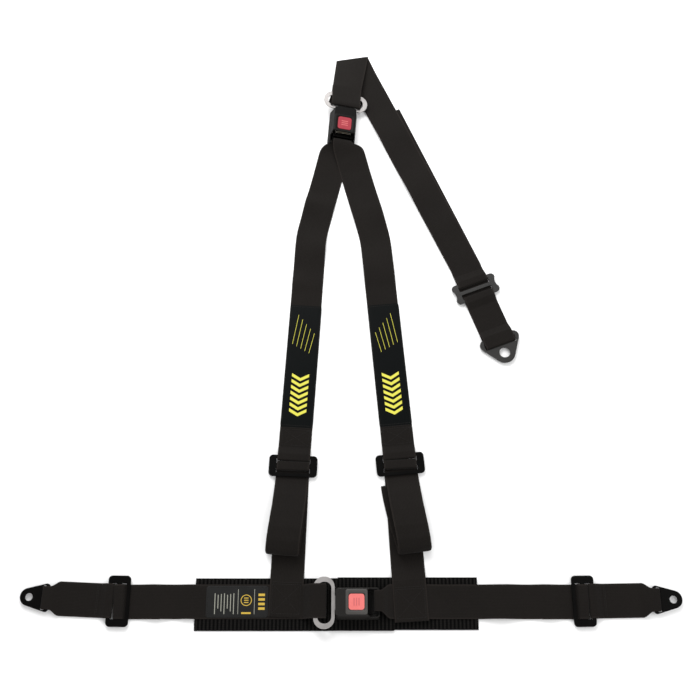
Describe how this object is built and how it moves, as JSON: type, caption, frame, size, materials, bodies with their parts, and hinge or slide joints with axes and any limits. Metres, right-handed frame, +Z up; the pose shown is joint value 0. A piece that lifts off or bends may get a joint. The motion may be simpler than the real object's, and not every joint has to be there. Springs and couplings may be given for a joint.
{
  "type": "racing harness",
  "caption": "Racing harness laid flat: lap belt and two shoulder straps on push-button buckles, a rear strap, slide adjusters and bolt-on brackets.",
  "frame": {"origin": "middle of the laid-out harness, on the surface that it lies on", "axes": "+X along the lap belt, +Y from the lap belt to the rear strap, +Z up from the surface"},
  "size_m": [0.9739, 0.9794, 0.0306],
  "materials": {
    "webbing": "woven polyester webbing",
    "pad_webbing": "ribbed webbing",
    "label": "satin label",
    "black_steel": "semi-gloss black",
    "grey_steel": "satin dark grey",
    "tongue_steel": "satin",
    "plated_steel": "satin",
    "buckle_plastic": "matte black",
    "ejector_plastic": "natural",
    "button_plastic": "satin red"
  },
  "bodies": {
    "root": {"backing_pad_right": "pad_webbing", "lap_webbing_right": "webbing", "shoulder_webbing_left": "webbing", "shoulder_webbing_right": "webbing", "shoulder_label_left": "label", "shoulder_label_right": "label", "shoulder_lower_left": "webbing", "shoulder_lower_right": "webbing", "lap_buckle_base": "buckle_plastic", "lap_buckle_cover": "buckle_plastic", "lap_buckle_screws": "plated_steel", "lap_buckle_frame": "black_steel", "lap_buckle_latch_leaf": "plated_steel", "lap_buckle_latch_pin": "plated_steel", "lap_buckle_button_spring": "plated_steel", "lap_buckle_ejector_spring": "plated_steel", "upper_buckle_base": "buckle_plastic", "upper_buckle_cover": "buckle_plastic", "upper_buckle_screws": "plated_steel", "upper_buckle_frame": "black_steel", "upper_buckle_latch_leaf": "plated_steel", "upper_buckle_latch_pin": "plated_steel", "upper_buckle_button_spring": "plated_steel", "upper_buckle_ejector_spring": "plated_steel"},
    "lap_left": {"lap_webbing_left": "webbing", "backing_pad_left": "pad_webbing", "approval_label": "label", "lap_tongue": "tongue_steel"},
    "lap_anchor_left": {"lap_adjuster_left": "black_steel", "lap_anchor_loop_left": "webbing"},
    "lap_end_left": {"lap_bracket_left": "black_steel"},
    "shoulder_slide_left": {"shoulder_adjuster_left": "black_steel"},
    "lap_anchor_right": {"lap_adjuster_right": "black_steel", "lap_anchor_loop_right": "webbing"},
    "lap_end_right": {"lap_bracket_right": "black_steel"},
    "shoulder_slide_right": {"shoulder_adjuster_right": "black_steel"},
    "lap_button": {"lap_buckle_button": "button_plastic"},
    "lap_ejector": {"lap_buckle_ejector": "ejector_plastic"},
    "upper_button": {"upper_buckle_button": "button_plastic"},
    "upper_ejector": {"upper_buckle_ejector": "ejector_plastic"},
    "rear_strap": {"upper_tongue": "tongue_steel", "rear_webbing": "webbing"},
    "rear_slide": {"rear_adjuster": "grey_steel"},
    "rear_end": {"rear_bracket": "grey_steel"}
  },
  "joints": [
    {"name": "lap_release", "type": "slide", "parent": "root", "child": "lap_left", "axis": [-1, 0, 0], "range_m": [0, 0.028], "deforming": ["lap_buckle_latch_leaf", "shoulder_lower_left"]},
    {"name": "lap_button_press", "type": "slide", "parent": "root", "child": "lap_button", "axis": [0, 0, -1], "range_m": [0, 0.0025], "stiffness_N_per_m": 600, "springref_m": -0.002, "deforming": ["lap_buckle_button_spring"]},
    {"name": "lap_ejector_slide", "type": "slide", "parent": "root", "child": "lap_ejector", "axis": [-1, 0, 0], "range_m": [0, 0.0115], "deforming": ["lap_buckle_ejector_spring"]},
    {"name": "upper_release", "type": "slide", "parent": "root", "child": "rear_strap", "axis": [0.0785, 0.9969, 0], "range_m": [0, 0.028], "deforming": ["upper_buckle_latch_leaf"]},
    {"name": "upper_button_press", "type": "slide", "parent": "root", "child": "upper_button", "axis": [-0.2073, 0.0163, -0.9781], "range_m": [0, 0.0025], "stiffness_N_per_m": 600, "springref_m": -0.002, "deforming": ["upper_buckle_button_spring"]},
    {"name": "upper_ejector_slide", "type": "slide", "parent": "root", "child": "upper_ejector", "axis": [0.0785, 0.9969, 0], "range_m": [0, 0.0115], "deforming": ["upper_buckle_ejector_spring"]},
    {"name": "shoulder_adjust_left", "type": "slide", "parent": "root", "child": "shoulder_slide_left", "axis": [0.0621, 0.9981, 0], "range_m": [-0.015, 0.015], "deforming": ["shoulder_webbing_left", "shoulder_lower_left"]},
    {"name": "shoulder_adjust_right", "type": "slide", "parent": "root", "child": "shoulder_slide_right", "axis": [-0.0906, 0.9959, 0], "range_m": [-0.015, 0.015], "deforming": ["shoulder_webbing_right", "shoulder_lower_right"]},
    {"name": "lap_adjust_left", "type": "slide", "parent": "lap_left", "child": "lap_anchor_left", "axis": [-1, 0, 0], "range_m": [-0.015, 0.015], "deforming": ["lap_webbing_left"]},
    {"name": "lap_bracket_tilt_left", "type": "hinge", "parent": "lap_anchor_left", "child": "lap_end_left", "pos_m": [-0.44639, -0.44251, 0.0045], "axis": [0.0454, 0.999, 0], "range_deg": [0, 50], "deforming": ["lap_anchor_loop_left"]},
    {"name": "lap_adjust_right", "type": "slide", "parent": "root", "child": "lap_anchor_right", "axis": [1, 0, 0], "range_m": [-0.015, 0.015], "deforming": ["lap_webbing_right"]},
    {"name": "lap_bracket_tilt_right", "type": "hinge", "parent": "lap_anchor_right", "child": "lap_end_right", "pos_m": [0.44648, -0.44543, 0.0045], "axis": [0.0175, -0.9998, 0], "range_deg": [0, 50], "deforming": ["lap_anchor_loop_right"]},
    {"name": "rear_adjust", "type": "slide", "parent": "rear_strap", "child": "rear_slide", "axis": [-0.3584, 0.9336, 0], "range_m": [-0.015, 0.015], "deforming": ["rear_webbing"]},
    {"name": "rear_bracket_tilt", "type": "hinge", "parent": "rear_strap", "child": "rear_end", "pos_m": [0.23443, -0.03524, 0.0045], "axis": [-0.9336, -0.3584, 0], "range_deg": [0, 50], "deforming": ["rear_webbing"]}
  ],
  "couplings": [
    {"joint": "lap_ejector_slide", "follows": "lap_release", "ratio": 0.4},
    {"joint": "upper_ejector_slide", "follows": "upper_release", "ratio": 0.4}
  ]
}
